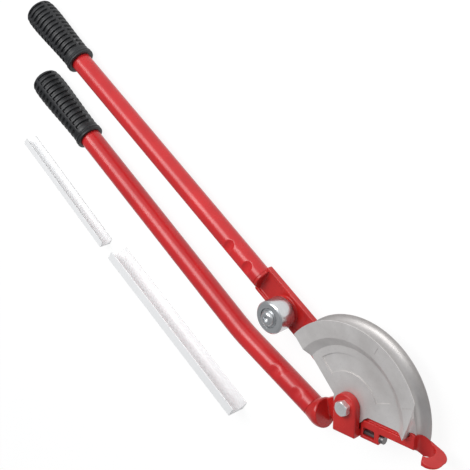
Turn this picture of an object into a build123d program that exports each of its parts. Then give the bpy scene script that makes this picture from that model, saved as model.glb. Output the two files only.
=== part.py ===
from build123d import *
import math
import os

os.makedirs("parts", exist_ok=True)

# Manual pipe bender for 15 mm and 22 mm copper pipe, lying on its back on a floor at z = 0.
# The pivot axis stands on the origin and the two handles point to -X.

# Clearances
overrun = 2.0
slide_gap = 0.3
running_fit = 0.05

# Stack of the head along the pivot axis, from the floor up
pivot_nut_height = 6.2
rear_ear_thickness = 8.0
lever_thickness = 7.0
former_width = 24.5
web_drop = 7.0
front_ear_thickness = 9.3
rear_ear_top = pivot_nut_height + rear_ear_thickness
lever_base = rear_ear_top + slide_gap
lever_top = lever_base + lever_thickness
former_base = lever_top + slide_gap
former_top = former_base + former_width
web_top = former_top - web_drop
front_ear_top = web_top + front_ear_thickness
pipe_axis_height = former_base + former_width / 2

# Pivot bolt, its lock nut and the bush that the lever turns on
bolt_diameter = 10.0
hex_across_flats = 16.0
bolt_head_height = 6.4
hex_corner_radius = hex_across_flats / 2 / math.cos(math.pi / 6)
hex_chamfer = 1.3
bush_wall = 1.5
bush_bore_radius = bolt_diameter / 2 + running_fit
bush_radius = bush_bore_radius + bush_wall

# Handles: tube axes one grip radius above the floor
grip_bulge_radius = 19.6
handle_axis_height = grip_bulge_radius
fixed_tube_diameter = 26.9
moving_tube_diameter = 25.0
tube_wall = 2.0
fixed_grip_length = 111.0
moving_grip_length = 100.0
grip_end_wall = 4.0
grip_waist_radius = 17.2
grip_ring_radius = 18.2
grip_ring_length = 7.0
grip_slot_depth = 1.5
grip_rib_arc = 16.0
grip_rib_count = 4
grip_slot_rows = 13

# Fixed handle centreline in plan: free end, bend and seam with the yoke
fixed_free_end_x = -595.0
fixed_free_end_y = -68.6
fixed_bend_x = -162.8
fixed_bend_y = -79.2
fixed_seam_x = -38.7
fixed_seam_y = -66.6
fixed_bend_radius = 260.0
fixed_spigot_length = 86.0

# Moving handle, straight
moving_tube_end_x = -180.0
moving_tube_end_y = 2.7
moving_free_end_x = -646.0
moving_free_end_y = 4.4
moving_spigot_length = 62.0

# Crimp dents that lock the tubes on their spigots, pressed in with a round bar held across the tube
dent_count = 2
moving_press_radius = 9.7
moving_dent_depth = 2.8
moving_dent_first = 17.0
moving_dent_pitch = 34.0
moving_dent_angle = 78.0
fixed_press_radius = 14.0
fixed_dent_depth = 1.4
fixed_dent_first = 19.5
fixed_dent_pitch = 37.0
fixed_dent_angle = 65.0

# Former: a half disc with a half round groove for 22 mm pipe
flange_radius = 97.5
groove_radius = 11.0
band_inner_radius = 78.0
web_outer_radius = 67.5
web_thickness = 6.0
rim_wall = 6.5
hub_radius = 22.5
back_chamfer = 1.0
mark_depth = 0.5
mark_width = 1.3
zero_mark_margin = 6.5
zero_mark_angle = 51.8
middle_mark_angle = 96.6
recess_depth = 1.2
recess_inner_radius = 38.0
recess_outer_radius = 59.0
recess_start_angle = 54.0
recess_end_angle = 166.0
rib_thickness = 4.0
rib_angles = (48, 92, 137)

# Lever casting
lever_hub_radius = 20.0
lever_front_y = 22.0
lever_rear_y = -16.0
lever_taper_x = -84.0
lever_corner_round = 2.5
pocket_depth = 3.0
pocket_rim = 4.0
pocket_end_x = -104.0
bulkhead_thickness = 4.3

# Roller and its shoulder screw
roller_x = -132.6
roller_y = -3.3
roller_diameter = 39.0
roller_boss_height = 1.5
roller_boss_radius = 13.0
roller_proud = 1.0
roller_bevel = 2.0
roller_recess_radius = 12.0
roller_recess_depth = 2.6
roller_bush_wall = 2.0
shoulder_diameter = 12.0
roller_thread_diameter = 10.0
roller_washer_radius = 10.6
roller_washer_thickness = 1.6
button_radius = 9.0
button_height = 5.6
button_round = 4.4
button_socket_across = 6.0
button_socket_depth = 3.2
roller_nut_across = 17.0
roller_nut_height = 7.0
roller_base = lever_top + roller_boss_height + slide_gap
roller_top = former_top + roller_proud

# Yoke casting: elbow, rear ear, riser and front ear. The hook casting's bar is square to the tab.
bar_heading = 31.9
tab_heading = bar_heading - 90
elbow_radius = 17.0
elbow_x = -21.4
elbow_y = -58.5
elbow_heading = 45.0
elbow_front_shares = ((0.60, -0.37), (-0.72, 0.50))
elbow_bulge_radius = 17.6
elbow_bulge_step = 5.1
elbow_bulge_heading = 35.0
elbow_shoulder_radius = 16.5
elbow_shoulder_step = 4.4
elbow_shoulder_heading = 22.0
ear_radius = 15.4
riser_outer = 33.5
riser_thickness = 8.0
riser_half_width = 15.4
ear_edge_round = 1.4

# Hook casting: bar along the lower edge of the former and a hook around the pipe
bar_upper = -7.2
bar_lower = -21.0
bar_front_drop = 8.0
bar_end_gap = 0.5
bar_end = flange_radius - bar_end_gap
bar_step = 4.8
bar_step_drop = 3.0
seat_length = 17.0
beam_lower = -34.6
beam_thickness = 3.8
lug_start = 34.0
lug_thickness = 6.7
hook_bore_radius = 11.4
hook_out_reach = 25.0
hook_rear_reach = 14.5
hook_front_reach = 17.5
hook_inner_reach = 12.5
hook_corner_round = 12.5
hook_near_end = 14.6
hook_far_end = 22.3
hook_near_out_share = 0.37
hook_near_front_share = 0.06
hook_far_out_share = 0.10
hook_far_front_share = 0.10
hook_tip_angle = 64.0
hook_throat_angle = 190.0
saddle_inner_reach = 25.0
saddle_out_reach = 8.0
saddle_length = 32.0
saddle_far_end = 32.8
saddle_out_share = 0.86
saddle_front_share = -0.60
hook_screw_diameter = 5.0
hook_screw_head_radius = 4.4
hook_screw_head_height = 4.2
hook_screw_drop = 28.2
hook_screw_depth = 4.3
hook_screw_hold = 14.0
hook_washer_thickness = 1.0
former_seat_gap = 0.4

# Two dowel pins key the former's hub to the back of the front ear
pin_diameter = 5.0
pin_engagement = 5.0
pin_offset = (ear_radius + bolt_diameter / 2) / 2
pin_spread_angle = 38.0
pin_angles = (tab_heading - pin_spread_angle, tab_heading + pin_spread_angle)

# Loose pipe guides
long_guide_length = 264.0
long_guide_depth = 14.0
long_guide_width = 25.0
short_guide_length = 189.0
short_guide_depth = 9.5
short_guide_width = 17.0
short_groove_radius = 7.5
long_guide_x = -247.0
long_guide_y = -181.0
long_guide_angle = -1.0
short_guide_x = -497.5
short_guide_y = -184.0
short_guide_angle = -3.0


def level(height):
    return Plane.XY.offset(height)


def turned(angle, along, across=0):
    c = math.cos(math.radians(angle))
    s = math.sin(math.radians(angle))
    return (along * c - across * s, along * s + across * c)


def dented_rod(start, direction, length, radius, dents, press_radius):
    with BuildPart() as rod:
        with BuildSketch(Plane(origin=start, x_dir=(0, 0, 1), z_dir=direction)):
            Circle(radius)
        extrude(amount=length)
        with Locations(*dents):
            Cylinder(press_radius, fixed_tube_diameter * 2, mode=Mode.SUBTRACT)
    return rod.part


# Fixed handle centreline: two straight runs and one wide arc. A dent's plane has its z along the press bar.
fixed_free_end = Vector(fixed_free_end_x, fixed_free_end_y, handle_axis_height)
fixed_bend = Vector(fixed_bend_x, fixed_bend_y, handle_axis_height)
fixed_seam = Vector(fixed_seam_x, fixed_seam_y, handle_axis_height)
free_dir = (fixed_bend - fixed_free_end).normalized()
seam_dir = (fixed_seam - fixed_bend).normalized()
free_plane = Plane(origin=fixed_free_end, x_dir=(0, 0, 1), z_dir=free_dir)
fixed_bore_radius = fixed_tube_diameter / 2 - tube_wall
fixed_dent_dir = seam_dir.cross(Vector(0, 0, -1)).rotate(Axis((0, 0, 0), seam_dir), fixed_dent_angle)
fixed_press_lift = fixed_dent_dir * (fixed_tube_diameter / 2 + fixed_press_radius - fixed_dent_depth)
fixed_dents = [
    Plane(
        origin=fixed_seam - seam_dir * (fixed_dent_first + i * fixed_dent_pitch) + fixed_press_lift,
        x_dir=seam_dir,
        z_dir=seam_dir.cross(fixed_dent_dir),
    )
    for i in range(dent_count)
]

with BuildPart() as fixed_bore:
    with BuildLine() as bore_route:
        FilletPolyline(fixed_free_end, fixed_bend, fixed_seam, radius=fixed_bend_radius)
    with BuildSketch(free_plane):
        Circle(fixed_bore_radius)
    sweep(path=bore_route.line)
    with Locations(*fixed_dents):
        Cylinder(fixed_press_radius + tube_wall, fixed_tube_diameter * 2, mode=Mode.SUBTRACT)

with BuildPart() as fixed_handle_tube:
    with BuildLine() as fixed_route:
        FilletPolyline(fixed_free_end, fixed_bend, fixed_seam, radius=fixed_bend_radius)
    with BuildSketch(free_plane):
        Circle(fixed_tube_diameter / 2)
    sweep(path=fixed_route.line)
    with Locations(*fixed_dents):
        Cylinder(fixed_press_radius, fixed_tube_diameter * 2, mode=Mode.SUBTRACT)
    add(fixed_bore.part, mode=Mode.SUBTRACT)
fixed_handle_tube.part.label = "fixed_handle_tube"
export_step(fixed_handle_tube.part, "parts/fixed_handle_tube.step")

moving_tube_end = Vector(moving_tube_end_x, moving_tube_end_y, handle_axis_height)
moving_free_end = Vector(moving_free_end_x, moving_free_end_y, handle_axis_height)
moving_dir = (moving_tube_end - moving_free_end).normalized()
moving_tube_length = (moving_tube_end - moving_free_end).length
moving_bore_radius = moving_tube_diameter / 2 - tube_wall
moving_dent_dir = moving_dir.cross(Vector(0, 0, -1)).rotate(Axis((0, 0, 0), moving_dir), moving_dent_angle)
moving_press_lift = moving_dent_dir * (moving_tube_diameter / 2 + moving_press_radius - moving_dent_depth)
moving_dents = [
    Plane(
        origin=moving_tube_end - moving_dir * (moving_dent_first + i * moving_dent_pitch) + moving_press_lift,
        x_dir=moving_dir,
        z_dir=moving_dir.cross(moving_dent_dir),
    )
    for i in range(dent_count)
]
moving_bore = dented_rod(
    moving_free_end,
    moving_dir,
    moving_tube_length,
    moving_bore_radius,
    moving_dents,
    moving_press_radius + tube_wall,
)
with BuildPart() as moving_handle_tube:
    add(
        dented_rod(
            moving_free_end,
            moving_dir,
            moving_tube_length,
            moving_tube_diameter / 2,
            moving_dents,
            moving_press_radius,
        )
    )
    add(moving_bore, mode=Mode.SUBTRACT)
moving_handle_tube.part.label = "moving_handle_tube"
export_step(moving_handle_tube.part, "parts/moving_handle_tube.step")

# Rubber grips: a turned body with rows of slots, and four lengthwise ribs that cross the rows.
# The profile runs from the closed free end to the collar at the tool end.
grip_profile_shares = (
    (0.00, 0.72),
    (0.03, 0.885),
    (0.08, 0.965),
    (0.20, 1.00),
    (0.45, 0.965),
    (0.72, 0.90),
    (0.90, 0.878),
)
slot_first_share = 0.075
slot_pitch_share = 0.0655
slot_width_share = 0.030
slot_row_shares = tuple(slot_first_share + slot_pitch_share * i for i in range(grip_slot_rows))


def grip_radius_at(share):
    for (a, ra), (b, rb) in zip(grip_profile_shares, grip_profile_shares[1:]):
        if a <= share <= b:
            return grip_bulge_radius * (ra + (rb - ra) * (share - a) / (b - a))
    return grip_bulge_radius * grip_profile_shares[-1][1]


def grip_outline(length, bore_radius, slotted):
    points = [(0, 0)]
    marks = [(share * length, grip_radius_at(share)) for share, radius in grip_profile_shares]
    if slotted:
        for share in slot_row_shares:
            low = share - slot_width_share / 2
            high = share + slot_width_share / 2
            marks += [
                (low * length, grip_radius_at(low)),
                (low * length, grip_radius_at(low) - grip_slot_depth),
                (high * length, grip_radius_at(high) - grip_slot_depth),
                (high * length, grip_radius_at(high)),
            ]
        marks = [
            m
            for m in marks
            if not any(
                (s - slot_width_share / 2) * length < m[0] < (s + slot_width_share / 2) * length
                for s in slot_row_shares
            )
        ]
        order = {m: i for i, m in enumerate(marks)}
        marks.sort(key=lambda m: (m[0], order[m]))
    points += [(radius, along) for along, radius in marks]
    ring_start = length - grip_ring_length
    points += [
        (grip_waist_radius, ring_start),
        (grip_ring_radius, ring_start + grip_ring_length / 3),
        (grip_ring_radius, length - grip_ring_length / 4),
        (grip_ring_radius - grip_ring_length / 4, length),
        (bore_radius, length),
        (bore_radius, grip_end_wall),
        (0, grip_end_wall),
    ]
    return points


def make_grip(plane, length, bore_radius):
    with BuildPart() as grip:
        section = Plane(origin=plane.origin, x_dir=plane.x_dir, z_dir=-plane.y_dir)
        with BuildSketch(section):
            with BuildLine():
                Polyline(grip_outline(length, bore_radius, True), close=True)
            make_face()
        revolve(axis=Axis(plane.origin, plane.z_dir))
        for i in range(grip_rib_count):
            rib_angle = (i + 1 / 2) * 360 / grip_rib_count - grip_rib_arc / 2
            rib_dir = plane.x_dir.rotate(Axis((0, 0, 0), plane.z_dir), rib_angle)
            rib_plane = Plane(origin=plane.origin, x_dir=rib_dir, z_dir=rib_dir.cross(plane.z_dir))
            with BuildSketch(rib_plane):
                with BuildLine():
                    Polyline(grip_outline(length, bore_radius, False), close=True)
                make_face()
            revolve(axis=Axis(plane.origin, plane.z_dir), revolution_arc=grip_rib_arc)
    return grip.part


fixed_grip_plane = free_plane.offset(-grip_end_wall)
fixed_handle_grip = make_grip(fixed_grip_plane, fixed_grip_length, fixed_tube_diameter / 2)
fixed_handle_grip.label = "fixed_handle_grip"
export_step(fixed_handle_grip, "parts/fixed_handle_grip.step")

moving_grip_start = moving_free_end - moving_dir * grip_end_wall
moving_grip_plane = Plane(origin=moving_grip_start, x_dir=(0, 0, 1), z_dir=moving_dir)
moving_handle_grip = make_grip(moving_grip_plane, moving_grip_length, moving_tube_diameter / 2)
moving_handle_grip.label = "moving_handle_grip"
export_step(moving_handle_grip, "parts/moving_handle_grip.step")

# Former: one turned section, cut to its plan outline. The back is hollow between hub and rim.
rim_inner_radius = flange_radius - groove_radius - rim_wall
web_back = web_top - web_thickness
former_outline_shares = (
    (-0.215, -0.084),
    (-1.02, 0.119),
    (-1.25, 1.25),
    (0.60, 1.25),
    (1.20, 0.60),
    (0.914, 0.424),
    (0.701, 0.436),
    (0.722, 0.326),
    (0.594, 0.294),
    (0.26, 0.087),
    (0.16, -0.16),
)
front_trim_shares = ((0.564, 0.836), (0.657, 0.586), (0.722, 0.326))
former_plan_points = [(x * flange_radius, y * flange_radius) for x, y in former_outline_shares]
rim_land = former_width / 2 - groove_radius
with BuildLine() as front_trim:
    ThreePointArc(*[(x * flange_radius, y * flange_radius) for x, y in front_trim_shares])
trim_centre = front_trim.edges()[0].arc_center
trim_radius = front_trim.edges()[0].radius
with BuildPart() as former:
    with BuildSketch(Plane.XZ):
        with BuildLine():
            Polyline(
                (bolt_diameter, web_back),
                (rim_inner_radius - rim_wall / 2, web_back),
                (rim_inner_radius, web_back + web_thickness / 3),
                (rim_inner_radius, former_base),
                (flange_radius - back_chamfer, former_base),
                (flange_radius, former_base + back_chamfer),
                (flange_radius, former_top),
                (band_inner_radius, former_top),
                (web_outer_radius, web_top),
                (bolt_diameter, web_top),
                close=True,
            )
        make_face()
        with Locations((flange_radius, pipe_axis_height)):
            Circle(groove_radius, mode=Mode.SUBTRACT)
    revolve(axis=Axis.Z)
    with BuildSketch(level(former_base)) as former_plan:
        Polygon(*former_plan_points, align=None)
    extrude(amount=former_width, mode=Mode.INTERSECT)
    with BuildSketch(level(former_base)):
        Circle(hub_radius)
    extrude(amount=web_top - former_base)
    with Locations((trim_centre.X, trim_centre.Y, former_top - rim_land)):
        Torus(trim_radius + groove_radius, groove_radius, mode=Mode.SUBTRACT)
    with BuildSketch(level(pipe_axis_height)):
        with Locations((trim_centre.X, trim_centre.Y)):
            Circle(trim_radius + groove_radius + flange_radius)
            Circle(trim_radius + groove_radius, mode=Mode.SUBTRACT)
    extrude(amount=former_width, mode=Mode.SUBTRACT)
    with BuildSketch(level(former_base + back_chamfer)):
        for angle in rib_angles:
            with Locations(Location((0, 0), angle)):
                with Locations(((hub_radius + rim_inner_radius) / 2, 0)):
                    Rectangle(rim_inner_radius - hub_radius + overrun, rib_thickness)
    extrude(amount=web_back + web_thickness / 2 - former_base - back_chamfer)
    with BuildSketch(level(web_top)):
        with BuildLine():
            Polyline(
                turned(recess_start_angle, recess_inner_radius),
                turned(recess_start_angle, recess_outer_radius),
            )
            CenterArc((0, 0), recess_outer_radius, recess_start_angle, recess_end_angle - recess_start_angle)
            Polyline(
                turned(recess_end_angle, recess_outer_radius),
                turned(recess_end_angle, recess_inner_radius),
            )
            CenterArc((0, 0), recess_inner_radius, recess_start_angle, recess_end_angle - recess_start_angle)
        make_face()
    extrude(amount=-recess_depth, mode=Mode.SUBTRACT)
    with BuildSketch(level(former_top)):
        with Locations(Location((0, 0), zero_mark_angle)):
            with Locations(((flange_radius + band_inner_radius) / 2 - mark_width, 0)):
                Rectangle(flange_radius - band_inner_radius - zero_mark_margin, mark_width)
        with Locations(Location((0, 0), middle_mark_angle)):
            with Locations(((flange_radius + band_inner_radius) / 2 + mark_width, 0)):
                Rectangle((flange_radius - band_inner_radius) / 2, mark_width)
    extrude(amount=-mark_depth, mode=Mode.SUBTRACT)
    with BuildSketch(level(web_top - pin_engagement)):
        for angle in pin_angles:
            with Locations(turned(angle, pin_offset)):
                Circle(pin_diameter / 2)
    extrude(amount=pin_engagement, mode=Mode.SUBTRACT)
    with BuildSketch(level(former_base)):
        Circle(bolt_diameter / 2)
    extrude(amount=former_width, mode=Mode.SUBTRACT)
former.part.label = "former"
export_step(former.part, "parts/former.step")

# Hook casting: in plan a bar with a bracket below it, then a hook that wraps round the pipe
bar_front = former_top - bar_front_drop
bar_plane = Plane(origin=(0, 0, former_base), x_dir=(*turned(bar_heading, 1), 0), z_dir=(0, 0, 1))
pipe_heading = bar_heading - 90
pipe_origin = Vector(*turned(bar_heading, flange_radius), pipe_axis_height)
pipe_dir = Vector(*turned(pipe_heading, 1), 0)
out_dir = Vector(*turned(bar_heading, 1), 0)
hook_plane = Plane(origin=pipe_origin, x_dir=out_dir, z_dir=pipe_dir)
hook_reach = hook_out_reach + hook_rear_reach + hook_front_reach
hook_near_plane = Plane(
    origin=pipe_origin + pipe_dir * hook_near_end,
    z_dir=pipe_dir * -1 + out_dir * hook_near_out_share + Vector(0, 0, hook_near_front_share),
)
hook_far_plane = Plane(
    origin=pipe_origin + pipe_dir * hook_far_end,
    z_dir=pipe_dir * -1 + out_dir * hook_far_out_share + Vector(0, 0, hook_far_front_share),
)
saddle_far_plane = Plane(
    origin=pipe_origin + pipe_dir * saddle_far_end,
    z_dir=pipe_dir * -1 + out_dir * saddle_out_share + Vector(0, 0, saddle_front_share),
)
seat_start = bar_end - seat_length

screw_across = -hook_screw_drop
screw_height = bar_front - hook_screw_depth
lug_face = lug_start + lug_thickness
screw_dir = (*turned(bar_heading, 1), 0)
lug_point = (*turned(bar_heading, lug_face, screw_across), screw_height)
lug_plane = Plane(origin=lug_point, x_dir=(0, 0, 1), z_dir=screw_dir)
screw_length = lug_face - riser_half_width + hook_screw_hold


# Yoke casting
elbow_centre = Vector(elbow_x, elbow_y, handle_axis_height)
elbow_plane = Plane(origin=elbow_centre, x_dir=(0, 0, 1), z_dir=(*turned(elbow_heading, 1), 0))
elbow_front = [(elbow_x + x * elbow_radius, elbow_y + y * elbow_radius) for x, y in elbow_front_shares]
bulge_centre = elbow_centre - Vector(*turned(elbow_bulge_heading, elbow_bulge_step))
bulge_plane = Plane(origin=bulge_centre, x_dir=(0, 0, 1), z_dir=(*turned(elbow_bulge_heading, 1), 0))
shoulder_centre = bulge_centre - Vector(*turned(elbow_shoulder_heading, elbow_shoulder_step))
shoulder_plane = Plane(origin=shoulder_centre, x_dir=(0, 0, 1), z_dir=(*turned(elbow_shoulder_heading, 1), 0))
with BuildPart() as yoke_casting:
    with BuildSketch(Plane(origin=fixed_seam, x_dir=(0, 0, 1), z_dir=seam_dir)):
        Circle(fixed_tube_diameter / 2)
    with BuildSketch(shoulder_plane):
        Circle(elbow_shoulder_radius)
    with BuildSketch(bulge_plane):
        Circle(elbow_bulge_radius)
    with BuildSketch(elbow_plane):
        Circle(elbow_radius)
    loft()
    add(
        dented_rod(
            fixed_seam,
            seam_dir * -1,
            fixed_spigot_length,
            fixed_bore_radius,
            fixed_dents,
            fixed_press_radius + tube_wall,
        )
    )
    with BuildSketch(level(pivot_nut_height)) as rear_plan:
        with BuildLine():
            Polyline(
                turned(tab_heading, 0, ear_radius),
                turned(tab_heading, riser_outer, riser_half_width),
                turned(tab_heading, riser_outer, -riser_half_width),
                *elbow_front,
                turned(tab_heading, 0, -ear_radius),
                close=True,
            )
        make_face()
        Circle(ear_radius)
    extrude(amount=rear_ear_thickness)
    with BuildSketch(level(pivot_nut_height)) as riser_plan:
        with BuildLine():
            Polyline(
                turned(tab_heading, riser_outer, riser_half_width),
                turned(tab_heading, riser_outer, -riser_half_width),
                turned(tab_heading, riser_outer - riser_thickness, -riser_half_width),
                turned(tab_heading, riser_outer - riser_thickness, riser_half_width),
                close=True,
            )
        make_face()
    extrude(amount=front_ear_top - pivot_nut_height)
    with BuildSketch(level(web_top)) as tab_plan:
        with BuildLine():
            Polyline(
                turned(tab_heading, 0, ear_radius),
                turned(tab_heading, riser_outer, riser_half_width),
                turned(tab_heading, riser_outer, -riser_half_width),
                turned(tab_heading, 0, -ear_radius),
                close=True,
            )
        make_face()
        Circle(ear_radius)
    extrude(amount=front_ear_thickness)
    top_edges = yoke_casting.faces().filter_by(Axis.Z).sort_by(Axis.Z)[-1].outer_wire().edges()
    fillet(top_edges, ear_edge_round)
    with BuildSketch(level(0)):
        Circle(bolt_diameter / 2)
    extrude(amount=front_ear_top + overrun, mode=Mode.SUBTRACT)
    with BuildSketch(level(web_top)):
        for angle in pin_angles:
            with Locations(turned(angle, pin_offset)):
                Circle(pin_diameter / 2)
    extrude(amount=pin_engagement, mode=Mode.SUBTRACT)
    with BuildSketch(lug_plane):
        Circle(hook_screw_diameter / 2)
    extrude(amount=-screw_length, mode=Mode.SUBTRACT)
yoke_casting.part.label = "yoke_casting"
export_step(yoke_casting.part, "parts/yoke_casting.step")

with BuildPart() as former_pins:
    with BuildSketch(level(web_top - pin_engagement)):
        for angle in pin_angles:
            with Locations(turned(angle, pin_offset)):
                Circle(pin_diameter / 2)
    extrude(amount=2 * pin_engagement)
former_pins.part.label = "former_pins"
export_step(former_pins.part, "parts/former_pins.step")

with BuildPart() as pivot_bolt:
    with BuildSketch(level(front_ear_top)):
        Circle(hex_corner_radius)
    extrude(amount=bolt_head_height)
    chamfer(pivot_bolt.faces().sort_by(Axis.Z)[-1].edges(), hex_chamfer)
    with BuildSketch(level(front_ear_top)):
        RegularPolygon(hex_across_flats / 2, 6, major_radius=False)
    extrude(amount=bolt_head_height, mode=Mode.INTERSECT)
    with BuildSketch(level(0)):
        Circle(bolt_diameter / 2)
    extrude(amount=front_ear_top)
pivot_bolt.part.label = "pivot_bolt"
export_step(pivot_bolt.part, "parts/pivot_bolt.step")

with BuildPart() as pivot_nut:
    with BuildSketch(level(0)):
        RegularPolygon(hex_across_flats / 2, 6, major_radius=False)
        Circle(bolt_diameter / 2, mode=Mode.SUBTRACT)
    extrude(amount=pivot_nut_height)
pivot_nut.part.label = "pivot_nut"
export_step(pivot_nut.part, "parts/pivot_nut.step")

with BuildPart() as pivot_bush:
    with BuildSketch(level(lever_base)):
        Circle(bush_radius)
        Circle(bush_bore_radius, mode=Mode.SUBTRACT)
    extrude(amount=lever_thickness)
pivot_bush.part.label = "pivot_bush"
export_step(pivot_bush.part, "parts/pivot_bush.step")

with BuildPart() as hook_ring:
    with BuildSketch(hook_plane):
        with Locations(((hook_out_reach - hook_inner_reach) / 2, (hook_front_reach - hook_rear_reach) / 2)):
            RectangleRounded(
                hook_out_reach + hook_inner_reach, hook_front_reach + hook_rear_reach, hook_corner_round
            )
        with BuildLine():
            Polyline(
                (0, 0),
                turned(hook_tip_angle, hook_reach),
                turned((hook_tip_angle + hook_throat_angle) / 2, hook_reach),
                turned(hook_throat_angle, hook_reach),
                close=True,
            )
        make_face(mode=Mode.SUBTRACT)
    extrude(amount=hook_reach)
    split(bisect_by=hook_near_plane, keep=Keep.BOTTOM)
    split(bisect_by=hook_far_plane, keep=Keep.TOP)

with BuildPart() as hook_saddle:
    with BuildSketch(hook_plane):
        with BuildLine():
            Polyline(
                (-saddle_inner_reach, former_base - pipe_axis_height),
                (-hook_inner_reach, -hook_rear_reach),
                (saddle_out_reach, -hook_rear_reach),
                (saddle_out_reach, bar_front - pipe_axis_height),
                (-saddle_inner_reach, bar_front - pipe_axis_height),
                close=True,
            )
        make_face()
    extrude(amount=saddle_length)
    split(bisect_by=hook_near_plane, keep=Keep.BOTTOM)
    split(bisect_by=saddle_far_plane, keep=Keep.TOP)

with BuildPart() as hook_casting:
    with BuildSketch(bar_plane):
        with BuildLine():
            Polyline(
                (riser_half_width, bar_lower),
                (riser_half_width, bar_upper),
                (seat_start, bar_upper),
                (seat_start, 0),
                (bar_end, 0),
                (bar_end, bar_lower),
                close=True,
            )
        make_face()
        with BuildLine():
            Polyline(
                (riser_half_width, bar_lower),
                (riser_half_width, beam_lower),
                (lug_start + lug_thickness, beam_lower),
                (lug_start + lug_thickness, bar_lower),
                (lug_start, bar_lower),
                (lug_start, beam_lower + beam_thickness),
                (riser_half_width + beam_thickness, beam_lower + beam_thickness),
                (riser_half_width + beam_thickness, bar_lower),
                close=True,
            )
        make_face()
    extrude(amount=bar_front - former_base)
    with BuildSketch(bar_plane.offset(bar_front - former_base - bar_step_drop)):
        with BuildLine():
            Polyline(
                (riser_half_width, bar_upper),
                (seat_start, bar_upper),
                (seat_start, bar_upper - bar_step),
                (riser_half_width, bar_upper - bar_step),
                close=True,
            )
        make_face()
    extrude(amount=bar_step_drop, mode=Mode.SUBTRACT)
    add(hook_ring.part)
    add(hook_saddle.part)
    with BuildSketch(hook_plane):
        Circle(hook_bore_radius)
    extrude(amount=hook_reach, mode=Mode.SUBTRACT)
    with BuildSketch(level(former_base)):
        with Locations(turned(tab_heading, former_seat_gap)):
            Polygon(*former_plan_points, align=None)
        Circle(flange_radius + former_seat_gap, mode=Mode.INTERSECT)
        Circle(hub_radius + former_seat_gap)
    extrude(amount=former_width + overrun, mode=Mode.SUBTRACT)
    with BuildSketch(lug_plane):
        Circle(hook_screw_diameter / 2)
    extrude(amount=-screw_length, mode=Mode.SUBTRACT)
hook_casting.part.label = "hook_casting"
export_step(hook_casting.part, "parts/hook_casting.step")

# Lever casting: flat bar behind the former, pocketed in front, with a spigot in the tube
bulkhead_plane = Plane(origin=moving_tube_end, x_dir=(0, 0, 1), z_dir=(1, 0, 0))
with BuildPart() as lever_casting:
    with BuildSketch(level(lever_base)) as lever_plan:
        with BuildLine():
            Polyline(
                (moving_tube_end_x, lever_rear_y),
                (lever_taper_x, lever_rear_y),
                (0, -lever_hub_radius),
                (0, lever_hub_radius),
                (lever_taper_x, lever_front_y),
                (moving_tube_end_x, lever_front_y),
                close=True,
            )
        make_face()
        fillet(lever_plan.vertices().group_by(Axis.X)[0], lever_corner_round)
        Circle(lever_hub_radius)
    extrude(amount=lever_thickness)
    with BuildSketch(level(lever_top)):
        with BuildLine():
            Polyline(
                (moving_tube_end_x + bulkhead_thickness, lever_rear_y + pocket_rim),
                (pocket_end_x, lever_rear_y + pocket_rim),
                (pocket_end_x, lever_front_y - pocket_rim),
                (moving_tube_end_x + bulkhead_thickness, lever_front_y - pocket_rim),
                close=True,
            )
        make_face()
        with Locations((roller_x, roller_y)):
            Circle(roller_boss_radius + pocket_rim, mode=Mode.SUBTRACT)
    extrude(amount=-pocket_depth, mode=Mode.SUBTRACT)
    with BuildSketch(level(lever_base)):
        with Locations((roller_x, roller_y)):
            Circle(roller_boss_radius)
    extrude(amount=lever_thickness + roller_boss_height)
    with BuildSketch(bulkhead_plane):
        Circle(moving_tube_diameter / 2)
    extrude(amount=bulkhead_thickness)
    add(
        dented_rod(
            moving_tube_end,
            moving_dir * -1,
            moving_spigot_length,
            moving_bore_radius,
            moving_dents,
            moving_press_radius + tube_wall,
        )
    )
    with BuildSketch(level(0)):
        Circle(bush_radius)
        with Locations((roller_x, roller_y)):
            Circle(roller_thread_diameter / 2)
    extrude(amount=former_top, mode=Mode.SUBTRACT)
lever_casting.part.label = "lever_casting"
export_step(lever_casting.part, "parts/lever_casting.step")

# Roller, its bush, shoulder screw, washer and nut
roller_recess_floor = roller_top - roller_recess_depth
roller_washer_base = roller_recess_floor + slide_gap
roller_washer_top = roller_washer_base + roller_washer_thickness
shoulder_radius = shoulder_diameter / 2
with BuildPart() as roller:
    with BuildSketch(level(roller_base)):
        with Locations((roller_x, roller_y)):
            Circle(roller_diameter / 2)
            Circle(shoulder_radius + running_fit + roller_bush_wall, mode=Mode.SUBTRACT)
    extrude(amount=roller_top - roller_base)
    with BuildSketch(level(roller_top)):
        with Locations((roller_x, roller_y)):
            Circle(roller_recess_radius)
    extrude(amount=-roller_recess_depth, mode=Mode.SUBTRACT)
    rims = roller.edges().filter_by(GeomType.CIRCLE).group_by(SortBy.RADIUS)[-1]
    chamfer(rims, roller_bevel)
roller.part.label = "roller"
export_step(roller.part, "parts/roller.step")

with BuildPart() as roller_bush:
    with BuildSketch(level(roller_base)):
        with Locations((roller_x, roller_y)):
            Circle(shoulder_radius + running_fit + roller_bush_wall)
            Circle(shoulder_radius + running_fit, mode=Mode.SUBTRACT)
    extrude(amount=roller_recess_floor - roller_base)
roller_bush.part.label = "roller_bush"
export_step(roller_bush.part, "parts/roller_bush.step")

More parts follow.
